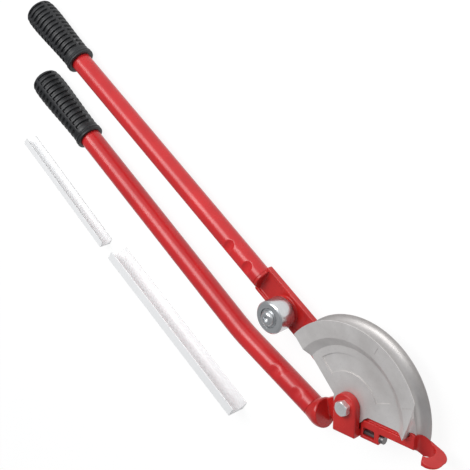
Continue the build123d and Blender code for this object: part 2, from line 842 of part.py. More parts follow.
with BuildPart() as roller_screw:
    with BuildSketch(level(lever_base - roller_nut_height)):
        with Locations((roller_x, roller_y)):
            Circle(roller_thread_diameter / 2)
    extrude(amount=lever_thickness + roller_boss_height + roller_nut_height)
    with BuildSketch(level(lever_top + roller_boss_height)):
        with Locations((roller_x, roller_y)):
            Circle(shoulder_radius)
    extrude(amount=roller_washer_base - lever_top - roller_boss_height)
    with BuildSketch(level(roller_washer_base)):
        with Locations((roller_x, roller_y)):
            Circle(roller_thread_diameter / 2)
    extrude(amount=roller_washer_thickness)
    with BuildSketch(level(roller_washer_top)):
        with Locations((roller_x, roller_y)):
            Circle(button_radius)
    extrude(amount=button_height)
    head_top = roller_screw.faces().filter_by(Axis.Z).sort_by(Axis.Z)[-1]
    fillet(head_top.edges(), button_round)
    with BuildSketch(level(roller_washer_top + button_height)):
        with Locations((roller_x, roller_y)):
            RegularPolygon(button_socket_across / 2, 6, major_radius=False)
    extrude(amount=-button_socket_depth, mode=Mode.SUBTRACT)
roller_screw.part.label = "roller_screw"
export_step(roller_screw.part, "parts/roller_screw.step")

with BuildPart() as roller_washer:
    with BuildSketch(level(roller_washer_base)):
        with Locations((roller_x, roller_y)):
            Circle(roller_washer_radius)
            Circle(roller_thread_diameter / 2, mode=Mode.SUBTRACT)
    extrude(amount=roller_washer_thickness)
roller_washer.part.label = "roller_washer"
export_step(roller_washer.part, "parts/roller_washer.step")

with BuildPart() as roller_nut:
    with BuildSketch(level(lever_base - roller_nut_height)):
        with Locations((roller_x, roller_y)):
            RegularPolygon(roller_nut_across / 2, 6, major_radius=False)
            Circle(roller_thread_diameter / 2, mode=Mode.SUBTRACT)
    extrude(amount=roller_nut_height)
roller_nut.part.label = "roller_nut"
export_step(roller_nut.part, "parts/roller_nut.step")

# Screw and washer that clamp the hook casting to the yoke, along the bar
with BuildPart() as hook_washer:
    with BuildSketch(lug_plane):
        Circle(hook_screw_head_radius)
        Circle(hook_screw_diameter / 2, mode=Mode.SUBTRACT)
    extrude(amount=hook_washer_thickness)
hook_washer.part.label = "hook_washer"
export_step(hook_washer.part, "parts/hook_washer.step")

with BuildPart() as hook_screw:
    with BuildSketch(lug_plane.offset(hook_washer_thickness)):
        Circle(hook_screw_head_radius)
    extrude(amount=hook_screw_head_height)
    with BuildSketch(lug_plane.offset(hook_washer_thickness)):
        Circle(hook_screw_diameter / 2)
    extrude(amount=-(hook_washer_thickness + screw_length))
hook_screw.part.label = "hook_screw"
export_step(hook_screw.part, "parts/hook_screw.step")


# Loose guides: a half round channel that lies on its side with the groove towards the tool
def make_guide(length, depth, width, groove, x, y, angle):
    with BuildPart() as guide:
        start = Vector(x, y, 0) - Vector(*turned(angle, length / 2), 0)
        end_plane = Plane(
            origin=start + Vector(0, 0, width / 2),
            x_dir=(*turned(angle, 0, 1), 0),
            z_dir=(*turned(angle, 1), 0),
        )
        with BuildSketch(end_plane):
            Rectangle(depth, width)
            with Locations((depth / 2, 0)):
                Circle(groove, mode=Mode.SUBTRACT)
        extrude(amount=length)
    return guide.part


long_guide = make_guide(
    long_guide_length,
    long_guide_depth,
    long_guide_width,
    groove_radius,
    long_guide_x,
    long_guide_y,
    long_guide_angle,
)
long_guide.label = "long_guide"
export_step(long_guide, "parts/long_guide.step")

short_guide = make_guide(
    short_guide_length,
    short_guide_depth,
    short_guide_width,
    short_groove_radius,
    short_guide_x,
    short_guide_y,
    short_guide_angle,
)
short_guide.label = "short_guide"
export_step(short_guide, "parts/short_guide.step")
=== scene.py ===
import math

import bmesh
import bpy
from mathutils import Matrix, Vector


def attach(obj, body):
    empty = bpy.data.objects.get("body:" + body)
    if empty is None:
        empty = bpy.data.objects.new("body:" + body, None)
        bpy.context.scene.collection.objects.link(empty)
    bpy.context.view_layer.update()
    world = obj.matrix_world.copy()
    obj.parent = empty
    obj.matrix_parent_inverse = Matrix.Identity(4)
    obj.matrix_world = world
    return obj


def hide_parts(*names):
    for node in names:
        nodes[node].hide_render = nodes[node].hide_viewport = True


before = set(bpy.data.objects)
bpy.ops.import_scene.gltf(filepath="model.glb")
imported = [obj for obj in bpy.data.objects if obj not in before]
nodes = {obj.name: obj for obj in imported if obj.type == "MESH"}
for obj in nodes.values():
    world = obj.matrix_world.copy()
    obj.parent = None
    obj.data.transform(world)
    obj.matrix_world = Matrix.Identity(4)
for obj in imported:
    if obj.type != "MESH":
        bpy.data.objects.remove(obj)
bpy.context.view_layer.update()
mm = 0.001
print("frame loaded:", len(nodes), "nodes")


# small helpers for shader nodes

def newGroup(name, inputs, outputs):
    group = bpy.data.node_groups.new(name, "ShaderNodeTree")
    for label, value in inputs:
        socket = group.interface.new_socket(name=label, in_out="INPUT", socket_type="NodeSocketFloat")
        socket.default_value = value
    for label in outputs:
        group.interface.new_socket(name=label, in_out="OUTPUT", socket_type="NodeSocketFloat")
    return group, group.nodes.new("NodeGroupInput"), group.nodes.new("NodeGroupOutput")


def placeGroup(tree, group, values):
    node = tree.nodes.new("ShaderNodeGroup")
    node.node_tree = group
    for label, value in values.items():
        node.inputs[label].default_value = value
    return node


def mathNode(tree, operation, first, second=None, third=None):
    node = tree.nodes.new("ShaderNodeMath")
    node.operation = operation
    for socket, value in zip(node.inputs, (first, second, third)):
        if value is None:
            continue
        if isinstance(value, (int, float)):
            socket.default_value = value
        else:
            tree.links.new(value, socket)
    return node.outputs[0]


def noiseNode(tree, vector, scale, detail, rough=0.55):
    node = tree.nodes.new("ShaderNodeTexNoise")
    tree.links.new(vector, node.inputs["Vector"])
    node.inputs["Detail"].default_value = detail
    node.inputs["Roughness"].default_value = rough
    if isinstance(scale, (int, float)):
        node.inputs["Scale"].default_value = scale
    else:
        tree.links.new(scale, node.inputs["Scale"])
    return node.outputs["Fac"]


def objectPlace(tree):
    return tree.nodes.new("ShaderNodeTexCoord").outputs["Object"]


def splitPlace(tree, place):
    node = tree.nodes.new("ShaderNodeSeparateXYZ")
    tree.links.new(place, node.inputs[0])
    return node.outputs


def stretchNode(tree, value, low, high):
    # low to high becomes 0 to 1
    node = tree.nodes.new("ShaderNodeMapRange")
    tree.links.new(value, node.inputs["Value"])
    for label, end in (("From Min", low), ("From Max", high)):
        if isinstance(end, (int, float)):
            node.inputs[label].default_value = end
        else:
            tree.links.new(end, node.inputs[label])
    return node.outputs["Result"]


def rangeNode(tree, value, low, high):
    # 0 to 1 becomes low to high
    node = tree.nodes.new("ShaderNodeMapRange")
    tree.links.new(value, node.inputs["Value"])
    node.inputs["To Min"].default_value = low
    node.inputs["To Max"].default_value = high
    return node.outputs["Result"]


def mixColour(tree, factor, first, second):
    node = tree.nodes.new("ShaderNodeMix")
    node.data_type = "RGBA"
    tree.links.new(factor, node.inputs["Factor"])
    for label, value in (("A", first), ("B", second)):
        socket = [s for s in node.inputs if s.name == label and s.type == "RGBA"][0]
        if isinstance(value, tuple):
            socket.default_value = (*value, 1.0)
        else:
            tree.links.new(value, socket)
    return [s for s in node.outputs if s.type == "RGBA"][0]


def addBump(tree, shader, height, look):
    node = tree.nodes.new("ShaderNodeBump")
    node.inputs["Strength"].default_value = look["bump"]
    node.inputs["Distance"].default_value = look["bumpDistance"]
    tree.links.new(height, node.inputs["Height"])
    tree.links.new(node.outputs["Normal"], shader.inputs["Normal"])


# shared effects, each one a node group with named sockets

skinLook = {
    "grainDetail": 3.0, "waveDetail": 2.0, "patchDetail": 4.0, "patchRough": 0.6,
    "patchFrom": (0.32, 0.68), "speckFrom": (0.60, 0.74),
}
turnedLineLook = {"lineDetail": 2.0, "lineRough": 0.5, "wanderScale": 45.0, "wanderDetail": 2.0}
edgeHighlightLook = {"breakScale": 380.0, "breakDetail": 3.0}


def makeSkinGroup(look):
    # fine grain over broad waves, for paint, cast metal and rubber
    group, given, made = newGroup(
        "surfaceSkin",
        (("Grain Scale", 900.0), ("Grain", 0.5), ("Wave Scale", 60.0), ("Wave", 0.5), ("Patch Scale", 22.0)),
        ("Height", "Patch", "Speck"),
    )
    place = objectPlace(group)
    grain = noiseNode(group, place, given.outputs["Grain Scale"], look["grainDetail"])
    wave = noiseNode(group, place, given.outputs["Wave Scale"], look["waveDetail"])
    patch = noiseNode(group, place, given.outputs["Patch Scale"], look["patchDetail"], look["patchRough"])
    height = mathNode(group, "MULTIPLY", grain, given.outputs["Grain"])
    height = mathNode(group, "MULTIPLY_ADD", wave, given.outputs["Wave"], height)
    group.links.new(height, made.inputs["Height"])
    group.links.new(stretchNode(group, patch, *look["patchFrom"]), made.inputs["Patch"])
    group.links.new(stretchNode(group, grain, *look["speckFrom"]), made.inputs["Speck"])
    return group


def makeTurnedGroup(look):
    # fine tool lines: rings round an upright axis on flat faces, and rings along its height on round ones
    group, given, made = newGroup(
        "turnedLines",
        (("Centre X", 0.0), ("Centre Y", 0.0), ("Line Scale", 2500.0), ("Wander", 0.4)),
        ("Height", "Streak"),
    )
    place = objectPlace(group)
    split = splitPlace(group, place)
    across = mathNode(group, "SUBTRACT", split["X"], given.outputs["Centre X"])
    along = mathNode(group, "SUBTRACT", split["Y"], given.outputs["Centre Y"])
    acrossSquare = mathNode(group, "MULTIPLY", across, across)
    alongSquare = mathNode(group, "MULTIPLY", along, along)
    radius = mathNode(group, "SQRT", mathNode(group, "ADD", acrossSquare, alongSquare))
    ringPlace = group.nodes.new("ShaderNodeCombineXYZ")
    group.links.new(radius, ringPlace.inputs["X"])
    group.links.new(split["Z"], ringPlace.inputs["Y"])
    lines = noiseNode(
        group, ringPlace.outputs[0], given.outputs["Line Scale"], look["lineDetail"], look["lineRough"]
    )
    wander = noiseNode(group, place, look["wanderScale"], look["wanderDetail"])
    group.links.new(lines, made.inputs["Height"])
    streak = mathNode(group, "MULTIPLY_ADD", wander, given.outputs["Wander"], lines)
    group.links.new(streak, made.inputs["Streak"])
    return group


def makeEdgeHighlightGroup(look):
    # 1 on the convex edges of a mesh, broken up by noise; it lays a painted highlight along the edges
    group, given, made = newGroup("paintedEdgeLight", (("Low", 0.52), ("High", 0.60), ("Break", 0.5)), ("Mask",))
    edge = group.nodes.new("ShaderNodeNewGeometry").outputs["Pointiness"]
    litEdge = stretchNode(group, edge, given.outputs["Low"], given.outputs["High"])
    breakNoise = noiseNode(group, objectPlace(group), look["breakScale"], look["breakDetail"])
    broken = mathNode(group, "MULTIPLY", mathNode(group, "SUBTRACT", 1.0, breakNoise), given.outputs["Break"])
    mask = mathNode(group, "MAXIMUM", mathNode(group, "SUBTRACT", litEdge, broken), 0.0)
    group.links.new(mask, made.inputs["Mask"])
    return group


def makeGrooveGroup():
    # 1 inside the former's pipe groove, where the colour is darkened as painted shade in the recess
    group, given, made = newGroup(
        "pipeGroove",
        (("Ring Radius", 0.1), ("Ring Height", 0.03), ("Groove Radius", 0.01), ("Soft", 0.0005)),
        ("Mask",),
    )
    split = splitPlace(group, objectPlace(group))
    flat = mathNode(group, "MULTIPLY", split["X"], split["X"])
    flat = mathNode(group, "MULTIPLY_ADD", split["Y"], split["Y"], flat)
    across = mathNode(group, "SUBTRACT", mathNode(group, "SQRT", flat), given.outputs["Ring Radius"])
    rise = mathNode(group, "SUBTRACT", split["Z"], given.outputs["Ring Height"])
    apart = mathNode(group, "MULTIPLY", across, across)
    apart = mathNode(group, "SQRT", mathNode(group, "MULTIPLY_ADD", rise, rise, apart))
    left = mathNode(group, "SUBTRACT", given.outputs["Groove Radius"], apart)
    inside = mathNode(group, "DIVIDE", left, given.outputs["Soft"])
    inside.node.use_clamp = True
    group.links.new(inside, made.inputs["Mask"])
    return group


skinGroup = makeSkinGroup(skinLook)
grooveGroup = makeGrooveGroup()
turnedGroup = makeTurnedGroup(turnedLineLook)
edgeHighlightGroup = makeEdgeHighlightGroup(edgeHighlightLook)
print("shared effects done")


# materials: colours and roughness run from body to shade, or from low to high, in soft patches

paintLook = {
    "tube": {
        "body": (0.60, 0.018, 0.020), "shade": (0.50, 0.012, 0.015), "roughness": (0.25, 0.31),
    },
    "casting": {
        "body": (0.60, 0.024, 0.020), "shade": (0.44, 0.012, 0.012), "roughness": (0.24, 0.34),
        "grainScale": 520.0, "grain": 0.4, "waveScale": 110.0, "wave": 0.6,
        "bump": 0.16, "bumpDistance": 0.6 * mm,
        # these edge values lay a painted highlight, a paler red, on the convex edges
        "edgeHighlightShare": 0.32, "paintedEdgeHighlight": (0.80, 0.16, 0.16), "edge": {"Low": 0.53, "High": 0.66, "Break": 0.9},
    },
}
rubberLook = {
    "body": (0.006, 0.006, 0.007), "shade": (0.012, 0.013, 0.015), "roughness": (0.40, 0.55),
    "grainScale": 1500.0, "grain": 0.6, "waveScale": 260.0, "wave": 0.3,
    "bump": 0.25, "bumpDistance": 0.4 * mm,
    # these edge values lay a painted highlight, a grey, on the convex rib edges
    "paintedEdgeHighlight": (0.10, 0.10, 0.104), "edge": {"Low": 0.51, "High": 0.62, "Break": 0.4},
}
metalLook = {
    "former": {
        "body": (0.70, 0.675, 0.66), "shade": (0.55, 0.525, 0.51),
        "metallic": 0.36, "roughness": (0.36, 0.46),
        "grainScale": 700.0, "grain": 0.9, "waveScale": 240.0, "wave": 0.4,
        "bump": 0.22, "bumpDistance": 0.5 * mm, "speck": 0.36,
        "groove": {
            # the groove's darker body is painted shade in the recess; it is also more metallic and rougher
            "body": (0.40, 0.385, 0.375), "metallic": 0.72, "roughness": 0.50,
            "place": {
                "Ring Radius": 97.5 * mm, "Ring Height": 34.05 * mm,
                "Groove Radius": 11.2 * mm, "Soft": 0.4 * mm,
            },
        },
    },
    "guide": {
        "body": (0.90, 0.90, 0.90), "shade": (0.87, 0.87, 0.87), "metallic": 0.0, "roughness": (0.34, 0.42),
        "grainScale": 1100.0, "grain": 0.2, "waveScale": 90.0, "wave": 0.1,
        "bump": 0.02, "bumpDistance": 0.5 * mm,
    },
    "steel": {
        "body": (0.52, 0.51, 0.50), "shade": (0.42, 0.41, 0.40), "metallic": 1.0, "roughness": (0.24, 0.34),
        "grainScale": 900.0, "grain": 0.3, "waveScale": 200.0, "wave": 0.3,
        "bump": 0.08, "bumpDistance": 0.5 * mm, "speck": 0.3,
    },
    "bronze": {
        "body": (0.46, 0.27, 0.11), "shade": (0.38, 0.21, 0.08), "metallic": 1.0, "roughness": (0.32, 0.42),
        "grainScale": 1300.0, "grain": 0.8, "waveScale": 200.0, "wave": 0.2,
        "bump": 0.12, "bumpDistance": 0.5 * mm, "speck": 0.3,
    },
}
speckDarkness = 0.55
turnedLook = {
    "zinc": {
        "body": (0.94, 0.94, 0.93), "shade": (0.42, 0.42, 0.42), "metallic": 0.70, "roughness": (0.26, 0.42),
        "bump": 0.30, "bumpDistance": 0.2 * mm, "centre": (0.0, 0.0), "lineScale": 900.0,
    },
    "roller": {
        "body": (0.74, 0.75, 0.76), "shade": (0.30, 0.31, 0.32), "metallic": 0.90, "roughness": (0.18, 0.28),
        "bump": 0.12, "bumpDistance": 0.2 * mm, "centre": (-132.6 * mm, -3.3 * mm), "lineScale": 3000.0,
    },
    "screw": {
        "body": (0.20, 0.19, 0.19), "shade": (0.12, 0.11, 0.11), "metallic": 0.85, "roughness": (0.30, 0.42),
        "bump": 0.10, "bumpDistance": 0.2 * mm, "centre": (0.0, 0.0), "lineScale": 2200.0,
    },
}


def startMaterial(name):
    material = bpy.data.materials.new(name)
    material.use_nodes = True
    tree = material.node_tree
    return material, tree, tree.nodes["Principled BSDF"]


def skinNode(tree, look):
    sockets = (
        ("Grain Scale", "grainScale"), ("Grain", "grain"),
        ("Wave Scale", "waveScale"), ("Wave", "wave"),
    )
    return placeGroup(tree, skinGroup, {label: look[key] for label, key in sockets if key in look})


def makePaint(name, look):
    material, tree, shader = startMaterial(name)
    skin = skinNode(tree, look)
    colour = mixColour(tree, skin.outputs["Patch"], look["body"], look["shade"])
    # painted highlight: convex edges are lightened towards a paler red
    if "edgeHighlightShare" in look:
        edge = placeGroup(tree, edgeHighlightGroup, look["edge"])
        paintedEdgeHighlight = mathNode(tree, "MULTIPLY", edge.outputs["Mask"], look["edgeHighlightShare"])
        colour = mixColour(tree, paintedEdgeHighlight, colour, look["paintedEdgeHighlight"])
    tree.links.new(colour, shader.inputs["Base Color"])
    tree.links.new(rangeNode(tree, skin.outputs["Patch"], *look["roughness"]), shader.inputs["Roughness"])
    if "bump" in look:
        addBump(tree, shader, skin.outputs["Height"], look)
    return material


def makeRubber(name, look):
    material, tree, shader = startMaterial(name)
    skin = skinNode(tree, look)
    edge = placeGroup(tree, edgeHighlightGroup, look["edge"])
    colour = mixColour(tree, skin.outputs["Patch"], look["body"], look["shade"])
    # painted highlight: convex rib edges are lightened from black to grey
    colour = mixColour(tree, edge.outputs["Mask"], colour, look["paintedEdgeHighlight"])
    tree.links.new(colour, shader.inputs["Base Color"])
    tree.links.new(rangeNode(tree, skin.outputs["Patch"], *look["roughness"]), shader.inputs["Roughness"])
    addBump(tree, shader, skin.outputs["Height"], look)
    return material


def makeMetal(name, look):
    material, tree, shader = startMaterial(name)
    skin = skinNode(tree, look)
    colour = mixColour(tree, skin.outputs["Patch"], look["body"], look["shade"])
    if "speck" in look:
        dimmed = mathNode(tree, "MULTIPLY", skin.outputs["Speck"], look["speck"])
        colour = mixColour(tree, dimmed, colour, tuple(c * speckDarkness for c in look["body"]))
    rough = rangeNode(tree, skin.outputs["Patch"], *look["roughness"])
    shader.inputs["Metallic"].default_value = look["metallic"]
    if "groove" in look:
        # the groove's own look: a darker colour painted as shade in the recess, more metallic and rougher
        smooth = look["groove"]
        groove = placeGroup(tree, grooveGroup, smooth["place"]).outputs["Mask"]
        colour = mixColour(tree, groove, colour, smooth["body"])
        change = mathNode(tree, "SUBTRACT", smooth["roughness"], rough)
        rough = mathNode(tree, "MULTIPLY_ADD", groove, change, rough)
        metallic = rangeNode(tree, groove, look["metallic"], smooth["metallic"])
        tree.links.new(metallic, shader.inputs["Metallic"])
    tree.links.new(colour, shader.inputs["Base Color"])
    tree.links.new(rough, shader.inputs["Roughness"])
    addBump(tree, shader, skin.outputs["Height"], look)
    return material


def makeTurned(name, look):
    material, tree, shader = startMaterial(name)
    lines = placeGroup(tree, turnedGroup, {
        "Centre X": look["centre"][0], "Centre Y": look["centre"][1], "Line Scale": look["lineScale"],
    })
    colour = mixColour(tree, lines.outputs["Streak"], look["shade"], look["body"])
    tree.links.new(colour, shader.inputs["Base Color"])
    tree.links.new(rangeNode(tree, lines.outputs["Streak"], *look["roughness"]), shader.inputs["Roughness"])
    addBump(tree, shader, lines.outputs["Height"], look)
    shader.inputs["Metallic"].default_value = look["metallic"]
    return material


redTube = makePaint("redTube", paintLook["tube"])
redCasting = makePaint("redCasting", paintLook["casting"])
gripRubber = makeRubber("gripRubber", rubberLook)
formerMetal = makeMetal("formerMetal", metalLook["former"])
guideMetal = makeMetal("guideMetal", metalLook["guide"])
steelMetal = makeMetal("steelMetal", metalLook["steel"])
bronzeMetal = makeMetal("bronzeMetal", metalLook["bronze"])
zincPlate = makeTurned("zincPlate", turnedLook["zinc"])
rollerZinc = makeTurned("rollerZinc", turnedLook["roller"])
darkZinc = makeTurned("darkZinc", turnedLook["screw"])

nodeFinish = {
    "fixed_handle_tube": redTube, "moving_handle_tube": redTube,
    "fixed_handle_grip": gripRubber, "moving_handle_grip": gripRubber,
    "yoke_casting": redCasting, "hook_casting": redCasting, "lever_casting": redCasting,
    "former": formerMetal, "former_pins": steelMetal,
    "pivot_bolt": zincPlate, "pivot_nut": zincPlate, "pivot_bush": bronzeMetal,
    "roller": rollerZinc, "roller_bush": bronzeMetal, "roller_screw": rollerZinc,
    "roller_washer": rollerZinc, "roller_nut": rollerZinc,
    "hook_washer": darkZinc, "hook_screw": darkZinc,
    "long_guide": guideMetal, "short_guide": guideMetal,
}
for nodeName, finish in nodeFinish.items():
    nodes[nodeName].data.materials.clear()
    nodes[nodeName].data.materials.append(finish)
print("materials done:", len(bpy.data.materials))


# cast edges: the castings keep their CAD mesh and get rounded edges from modifiers

weldGap = 0.01 * mm
castEdges = {
    "yoke_casting": {"voxel": 0.75 * mm, "factor": 0.5, "passes": 7},
    "hook_casting": {"voxel": 0.55 * mm, "factor": 0.5, "passes": 8},
    "lever_casting": {"voxel": 0.75 * mm, "factor": 0.5, "passes": 6},
}


def weldTriangles(piece):
    weld = piece.modifiers.new("weld", "WELD")
    weld.merge_threshold = weldGap


def softenCasting(name, look):
    casting = nodes[name]
    weldTriangles(casting)
    remesh = casting.modifiers.new("remesh", "REMESH")
    remesh.mode = "VOXEL"
    remesh.voxel_size = look["voxel"]
    remesh.use_smooth_shade = True
    smooth = casting.modifiers.new("smooth", "SMOOTH")
    smooth.factor = look["factor"]
    smooth.iterations = look["passes"]


for castName, castLook in castEdges.items():
    softenCasting(castName, castLook)
print("castings softened")


# machined and moulded edges: a narrow rounded edge by a bevel modifier

edgeSegments = 2
edgeRounds = {
    "former": {"width": 0.45 * mm, "angle": 32.0},
    "long_guide": {"width": 0.8 * mm, "angle": 60.0},
    "short_guide": {"width": 0.7 * mm, "angle": 60.0},
    "pivot_bolt": {"width": 0.25 * mm, "angle": 25.0},
    "roller": {"width": 0.25 * mm, "angle": 30.0},
    "roller_screw": {"width": 0.15 * mm, "angle": 30.0},
    "hook_screw": {"width": 0.30 * mm, "angle": 40.0},
}


def softBevel(piece, look):
    soft = piece.modifiers.new("soft", "BEVEL")
    soft.width = look["width"]
    soft.segments = edgeSegments
    soft.limit_method = "ANGLE"
    soft.angle_limit = math.radians(look["angle"])
    return soft


for roundName, roundLook in edgeRounds.items():
    weldTriangles(nodes[roundName])
    softBevel(nodes[roundName], roundLook).harden_normals = True
print("edges rounded")


# finishing helpers for the new pieces

mergeGap = 0.001 * mm
creaseAngle = 35.0


def finishPiece(name, mesh, finish, body, stands, smoothAngle=creaseAngle):
    made = bpy.data.meshes.new(name)
    bmesh.ops.remove_doubles(mesh, verts=mesh.verts, dist=mergeGap)
    bmesh.ops.recalc_face_normals(mesh, faces=mesh.faces)
    for face in mesh.faces:
        face.smooth = True
    for edge in mesh.edges:
        edge.smooth = len(edge.link_faces) != 2 or edge.calc_face_angle(0.0) < math.radians(smoothAngle)
    mesh.to_mesh(made)
    mesh.free()
    made.materials.append(finish)
    piece = bpy.data.objects.new(name, made)
    bpy.context.scene.collection.objects.link(piece)
    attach(piece, body)
    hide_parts(*stands)
    return piece


def frameFrom(start, direction):
    # a matrix whose local Z runs along the direction and whose local X is up
    along = Vector(direction).normalized()
    up = (Vector((0, 0, 1)) - along * along.z).normalized()
    side = along.cross(up)
    return Matrix((
        (up.x, side.x, along.x, start[0]),
        (up.y, side.y, along.y, start[1]),
        (up.z, side.z, along.z, start[2]),
        (0, 0, 0, 1),
    ))


def floorPoint(point):
    # a point of a handle's centre line, given in millimetres as seen from above
    return Vector((point[0] * mm, point[1] * mm, axisHeight))


# handle tubes: a ring drawn out along the handle, pressed in at the crimps, then given its wall

axisHeight = 19.6 * mm
tubeLook = {
    "sides": 88, "wall": 2.0 * mm, "longStep": 12.0 * mm, "shortStep": 8.0 * mm, "bendSteps": 12,
    "crimpCount": 2, "crimpReach": 66.0 * mm, "crimpStep": 0.8 * mm,
    "crimpPast": 3.0 * mm, "crimpUnder": 2.0 * mm, "crimpCap": 0.999, "crimpEase": 0.12,
    "fixed": {
        "line": ((-595.0, -68.6), (-162.8, -79.2), (-38.7, -66.6)), "radius": 13.45 * mm, "bend": 260.0 * mm,
        "press": 13.0 * mm, "depth": 1.6 * mm, "blend": 1.5 * mm,
        "first": 19.5 * mm, "pitch": 37.0 * mm, "angle": 65.0,
    },
    "moving": {
        "line": ((-646.0, 4.4), (-180.0, 2.7)), "radius": 12.5 * mm,
        "press": 8.0 * mm, "depth": 3.0 * mm, "blend": 0.35 * mm,
        "first": 17.0 * mm, "pitch": 34.0 * mm, "angle": 78.0,
    },
}


def drawOut(mesh, edges, vector, length, step):
    # extrudes a ring in even steps and returns the last ring
    count = max(1, round(length / step))
    for i in range(count):
        made = bmesh.ops.extrude_edge_only(mesh, edges=edges)["geom"]
        ring = [g for g in made if isinstance(g, bmesh.types.BMVert)]
        bmesh.ops.translate(mesh, verts=ring, vec=vector * (length / count))
        edges = [g for g in made if isinstance(g, bmesh.types.BMEdge)]
    return edges


def pressCrimps(mesh, endPoint, direction, look):
    # the wall gives way round a bar held across the tube, and the metal beside it rolls over softly
    along = direction.normalized()
    side = along.cross(Vector((0, 0, -1)))
    inward = Matrix.Rotation(math.radians(look["angle"]), 3, along) @ side
    press = look["press"]
    blend = look["blend"]
    for i in range(tubeLook["crimpCount"]):
        middle = endPoint - along * (look["first"] + i * look["pitch"])
        bar = middle + inward * (look["radius"] + press - look["depth"])
        for vert in mesh.verts:
            offset = vert.co - bar
            lengthwise = offset.dot(along)
            height = offset.dot(inward)
            if abs(lengthwise) > press + tubeLook["crimpPast"] or height < -press - tubeLook["crimpUnder"]:
                continue
            reach = press ** 2 - min(lengthwise ** 2, press ** 2 * tubeLook["crimpCap"])
            over = height + math.sqrt(reach)
            if over > -blend:
                sink = (over + math.sqrt(over * over + blend * blend)) / 2 - tubeLook["crimpEase"] * blend
                vert.co -= inward * max(sink, 0.0)


def makeTube(name, look, body):
    points = [floorPoint(p) for p in look["line"]]
    mesh = bmesh.new()
    first = (points[1] - points[0]).normalized()
    place = frameFrom(points[0], first)
    bmesh.ops.create_circle(mesh, segments=tubeLook["sides"], radius=look["radius"], matrix=place)
    ring = mesh.edges[:]
    last = first
    if len(points) == 3:
        last = (points[2] - points[1]).normalized()
        turn = first.angle(last)
        cut = look["bend"] * math.tan(turn / 2)
        ring = drawOut(mesh, ring, first, (points[1] - points[0]).length - cut, tubeLook["longStep"])
        centre = points[1] - first * cut + Vector((-first.y, first.x, 0)) * look["bend"]
        made = bmesh.ops.spin(
            mesh, geom=ring, cent=centre, axis=(0, 0, 1), angle=turn, steps=tubeLook["bendSteps"]
        )["geom_last"]
        ring = [g for g in made if isinstance(g, bmesh.types.BMEdge)]
        straight = (points[2] - points[1]).length - cut
        ring = drawOut(mesh, ring, last, straight - tubeLook["crimpReach"], tubeLook["shortStep"])
    else:
        straight = (points[1] - points[0]).length
        ring = drawOut(mesh, ring, first, straight - tubeLook["crimpReach"], tubeLook["longStep"])
    drawOut(mesh, ring, last, tubeLook["crimpReach"], tubeLook["crimpStep"])
    pressCrimps(mesh, points[-1], last, look)
    bmesh.ops.recalc_face_normals(mesh, faces=mesh.faces)
    bmesh.ops.solidify(mesh, geom=mesh.faces[:], thickness=tubeLook["wall"])
    finishPiece(name, mesh, redTube, body, (name.replace("Tube", "_handle_tube"),))


makeTube("fixedTube", tubeLook["fixed"], "fixed_arm")
makeTube("movingTube", tubeLook["moving"], "moving_arm")
print("handle tubes done")


# rubber grips: a spun outline, with slots sunk into it between four lengthwise ribs
# outline points are shares of the grip's length and of its widest radius

gripLook = {
    "bulge": 19.55 * mm, "endWall": 4.0 * mm, "mouthSet": 0.5 * mm, "sides": 96,
    "ribCount": 4, "ribHalfAngle": 5.8, "rows": 13, "firstRow": 0.075, "rowPitch": 0.0655,
    "slotShare": 0.040, "slotFloor": 0.72, "slotClear": 0.002, "slotDepth": 2.6 * mm,
    "creaseAngle": 180.0, "edge": {"width": 0.22 * mm, "angle": 38.0},
    "fixed": {
        "start": (-595.0, -68.6), "toward": (-162.8, -79.2), "length": 111.0 * mm, "bore": 13.45 * mm,
        "ribTurn": 28.0,
    },
    "moving": {
        "start": (-646.0, 4.4), "toward": (-180.0, 2.7), "length": 100.0 * mm, "bore": 12.5 * mm,
        "ribTurn": 51.0,
    },
    "profile": (
        (0.0, 0.0), (0.0, 0.40), (0.004, 0.60), (0.014, 0.745), (0.032, 0.865), (0.055, 0.935),
        (0.085, 0.968), (0.14, 0.99), (0.20, 1.0), (0.30, 0.995), (0.45, 0.965), (0.58, 0.93),
        (0.72, 0.90), (0.85, 0.882), (0.915, 0.878),
    ),
    "collar": (
        (0.925, 0.868), (0.934, 0.868), (0.940, 0.905), (0.952, 0.93), (0.962, 0.905), (0.967, 0.885),
        (0.972, 0.905), (0.984, 0.93), (0.995, 0.915), (1.0, 0.865), (1.0, 0.80),
    ),
}


def gripRadiusAt(share):
    outline = gripLook["profile"]
    for (low, lowRadius), (high, highRadius) in zip(outline, outline[1:]):
        if low <= share <= high and high > low:
            return lowRadius + (highRadius - lowRadius) * (share - low) / (high - low)
    return outline[-1][1]


def gripOutline():
    # each slot adds five stations, of which the middle three are its floor
    stations = [(share, radius, False) for share, radius in gripLook["profile"]]
    half = gripLook["slotShare"] / 2
    clear = half + gripLook["slotClear"]
    floorHalf = half * gripLook["slotFloor"]
    for i in range(gripLook["rows"]):
        row = gripLook["firstRow"] + i * gripLook["rowPitch"]
        stations = [s for s in stations if not row - clear < s[0] < row + clear]
        for share, floor in ((row - half, False), (row - floorHalf, True), (row, True),
                             (row + floorHalf, True), (row + half, False)):
            stations.append((share, gripRadiusAt(share), floor))
    stations.sort(key=lambda s: (s[0], s[1]))
    return stations + [(share, radius, False) for share, radius in gripLook["collar"]]


def sinkSlots(mesh, floors, look):
    spacing = 360 / gripLook["ribCount"]
    for vert in mesh.verts:
        radius = math.hypot(vert.co.x, vert.co.y)
        if radius < look["bore"] + gripLook["mouthSet"]:
            continue
        if not any(abs(vert.co.z - f) < mergeGap for f in floors):
            continue
        bearing = math.degrees(math.atan2(vert.co.y, vert.co.x)) - look["ribTurn"]
        if abs(bearing % spacing - spacing / 2) > gripLook["ribHalfAngle"]:
            sunk = (radius - gripLook["slotDepth"]) / radius
            vert.co.x *= sunk
            vert.co.y *= sunk


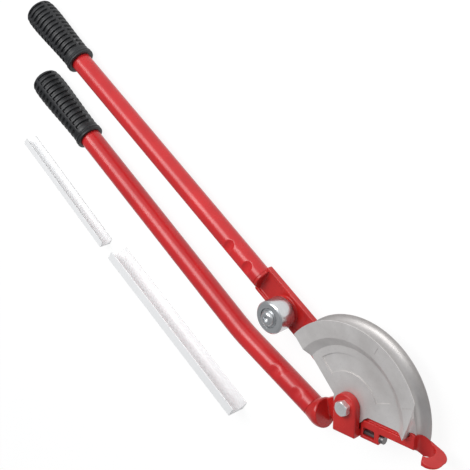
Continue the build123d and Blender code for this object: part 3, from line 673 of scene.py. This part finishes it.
def makeGrip(name, look, body):
    start = floorPoint(look["start"])
    along = (floorPoint(look["toward"]) - start).normalized()
    place = frameFrom(start - along * gripLook["endWall"], along)
    length = look["length"]
    mesh = bmesh.new()
    outline = gripOutline()
    points = [(share * length, radius * gripLook["bulge"]) for share, radius, floor in outline]
    points.append((length - gripLook["mouthSet"], look["bore"]))
    points.append((gripLook["endWall"], look["bore"]))
    points.append((gripLook["endWall"], 0.0))
    verts = [mesh.verts.new((radius, 0.0, height)) for height, radius in points]
    edges = [mesh.edges.new(pair) for pair in zip(verts, verts[1:])]
    bmesh.ops.spin(
        mesh, geom=verts + edges, cent=(0, 0, 0), axis=(0, 0, 1), angle=math.tau,
        steps=gripLook["sides"], use_merge=True,
    )
    sinkSlots(mesh, [share * length for share, radius, floor in outline if floor], look)
    bmesh.ops.transform(mesh, matrix=place, verts=mesh.verts)
    stands = (name.replace("Grip", "_handle_grip"),)
    grip = finishPiece(name, mesh, gripRubber, body, stands, gripLook["creaseAngle"])
    softBevel(grip, gripLook["edge"]).use_clamp_overlap = True


makeGrip("fixedGrip", gripLook["fixed"], "fixed_arm")
makeGrip("movingGrip", gripLook["moving"], "moving_arm")
print("grips done")


# stage: floor, lamp, white surroundings and the camera

stageLook = {
    "floorSize": 6.0, "floorAlbedo": 0.80, "shadowShare": 0.12, "glowCut": 0.8,
    "world": (0.95, 0.97, 1.0), "worldDark": 0.36, "worldBright": 1.05,
    "brightSide": (-0.25, 0.95, 0.20), "brightFrom": 0.45, "brightTo": 0.92,
    "key": {"place": (-0.95, 0.78, 1.55), "aim": (-0.22, -0.05, 0.0), "size": (1.5, 0.80), "power": 24.5},
    "sensor": 36.0, "lens": 95.74, "clip": (0.05, 50.0), "cameraPlace": (0.2786, 0.9611, 0.9782),
    "right": (0.6025, 0.3813, -0.7012), "up": (-0.7135, 0.6509, -0.2591), "back": (0.3576, 0.6564, 0.6642),
}
white = (1.0, 1.0, 1.0, 1.0)


def makeFloor():
    mesh = bmesh.new()
    bmesh.ops.create_grid(mesh, x_segments=2, y_segments=2, size=stageLook["floorSize"] / 2)
    made = bpy.data.meshes.new("floor")
    mesh.to_mesh(made)
    mesh.free()
    floor = bpy.data.objects.new("floor", made)
    bpy.context.scene.collection.objects.link(floor)
    material, tree, shader = startMaterial("paleFloor")
    tree.nodes.remove(shader)
    plain = tree.nodes.new("ShaderNodeBsdfDiffuse")
    plain.inputs["Color"].default_value = (stageLook["floorAlbedo"],) * 3 + (1.0,)
    faint = tree.nodes.new("ShaderNodeBsdfDiffuse")  # keeps the object's shadow on the white floor
    faint.inputs["Color"].default_value = (stageLook["shadowShare"],) * 3 + (1.0,)
    glow = tree.nodes.new("ShaderNodeEmission")
    glow.inputs["Color"].default_value = white
    glow.inputs["Strength"].default_value = 1.0 - stageLook["shadowShare"] * stageLook["glowCut"]
    seen = tree.nodes.new("ShaderNodeAddShader")
    tree.links.new(faint.outputs[0], seen.inputs[0])
    tree.links.new(glow.outputs[0], seen.inputs[1])
    path = tree.nodes.new("ShaderNodeLightPath")
    straight = mathNode(tree, "MAXIMUM", path.outputs["Is Camera Ray"], path.outputs["Is Glossy Ray"])
    straight = mathNode(tree, "MAXIMUM", straight, path.outputs["Is Transmission Ray"])
    mix = tree.nodes.new("ShaderNodeMixShader")
    tree.links.new(straight, mix.inputs["Fac"])
    tree.links.new(plain.outputs[0], mix.inputs[1])
    tree.links.new(seen.outputs[0], mix.inputs[2])
    tree.links.new(mix.outputs[0], tree.nodes["Material Output"].inputs["Surface"])
    made.materials.append(material)


def makeWorld():
    world = bpy.data.worlds.new("studioWorld")
    bpy.context.scene.world = world
    world.use_nodes = True
    tree = world.node_tree
    soft = tree.nodes["Background"]
    soft.inputs["Color"].default_value = (*stageLook["world"], 1.0)
    facing = tree.nodes.new("ShaderNodeVectorMath")  # a pale wall far off on one side, dim elsewhere
    facing.operation = "DOT_PRODUCT"
    tree.links.new(tree.nodes.new("ShaderNodeTexCoord").outputs["Generated"], facing.inputs[0])
    facing.inputs[1].default_value = stageLook["brightSide"]
    wall = tree.nodes.new("ShaderNodeMapRange")
    wall.interpolation_type = "SMOOTHSTEP"
    tree.links.new(facing.outputs["Value"], wall.inputs["Value"])
    for label, key in (("From Min", "brightFrom"), ("From Max", "brightTo"),
                       ("To Min", "worldDark"), ("To Max", "worldBright")):
        wall.inputs[label].default_value = stageLook[key]
    tree.links.new(wall.outputs["Result"], soft.inputs["Strength"])
    backdrop = tree.nodes.new("ShaderNodeBackground")
    backdrop.inputs["Color"].default_value = white
    backdrop.inputs["Strength"].default_value = 1.0
    path = tree.nodes.new("ShaderNodeLightPath")
    mix = tree.nodes.new("ShaderNodeMixShader")
    tree.links.new(path.outputs["Is Camera Ray"], mix.inputs["Fac"])
    tree.links.new(soft.outputs[0], mix.inputs[1])
    tree.links.new(backdrop.outputs[0], mix.inputs[2])
    tree.links.new(mix.outputs[0], tree.nodes["World Output"].inputs["Surface"])


def makeLamp(name, look):
    data = bpy.data.lights.new(name, "AREA")
    data.shape = "RECTANGLE"
    data.size, data.size_y = look["size"]
    data.energy = look["power"]
    lamp = bpy.data.objects.new(name, data)
    bpy.context.scene.collection.objects.link(lamp)
    lamp.location = look["place"]
    aim = Vector(look["aim"]) - Vector(look["place"])
    lamp.rotation_euler = aim.to_track_quat("-Z", "Y").to_euler()


def makeCamera():
    data = bpy.data.cameras.new("camera")
    data.sensor_width = stageLook["sensor"]
    data.lens = stageLook["lens"]
    data.clip_start, data.clip_end = stageLook["clip"]
    camera = bpy.data.objects.new("camera", data)
    bpy.context.scene.collection.objects.link(camera)
    axes = [Vector(stageLook[k]).normalized() for k in ("right", "up", "back")]
    turn = Matrix((axes[0], axes[1], axes[2])).transposed()
    camera.matrix_world = Matrix.Translation(stageLook["cameraPlace"]) @ turn.to_4x4()
    bpy.context.scene.camera = camera


makeFloor()
makeWorld()
makeLamp("keyLamp", stageLook["key"])
makeCamera()
bpy.context.scene.view_settings.view_transform = "Standard"
print("stage done")

bpy.context.view_layer.update()
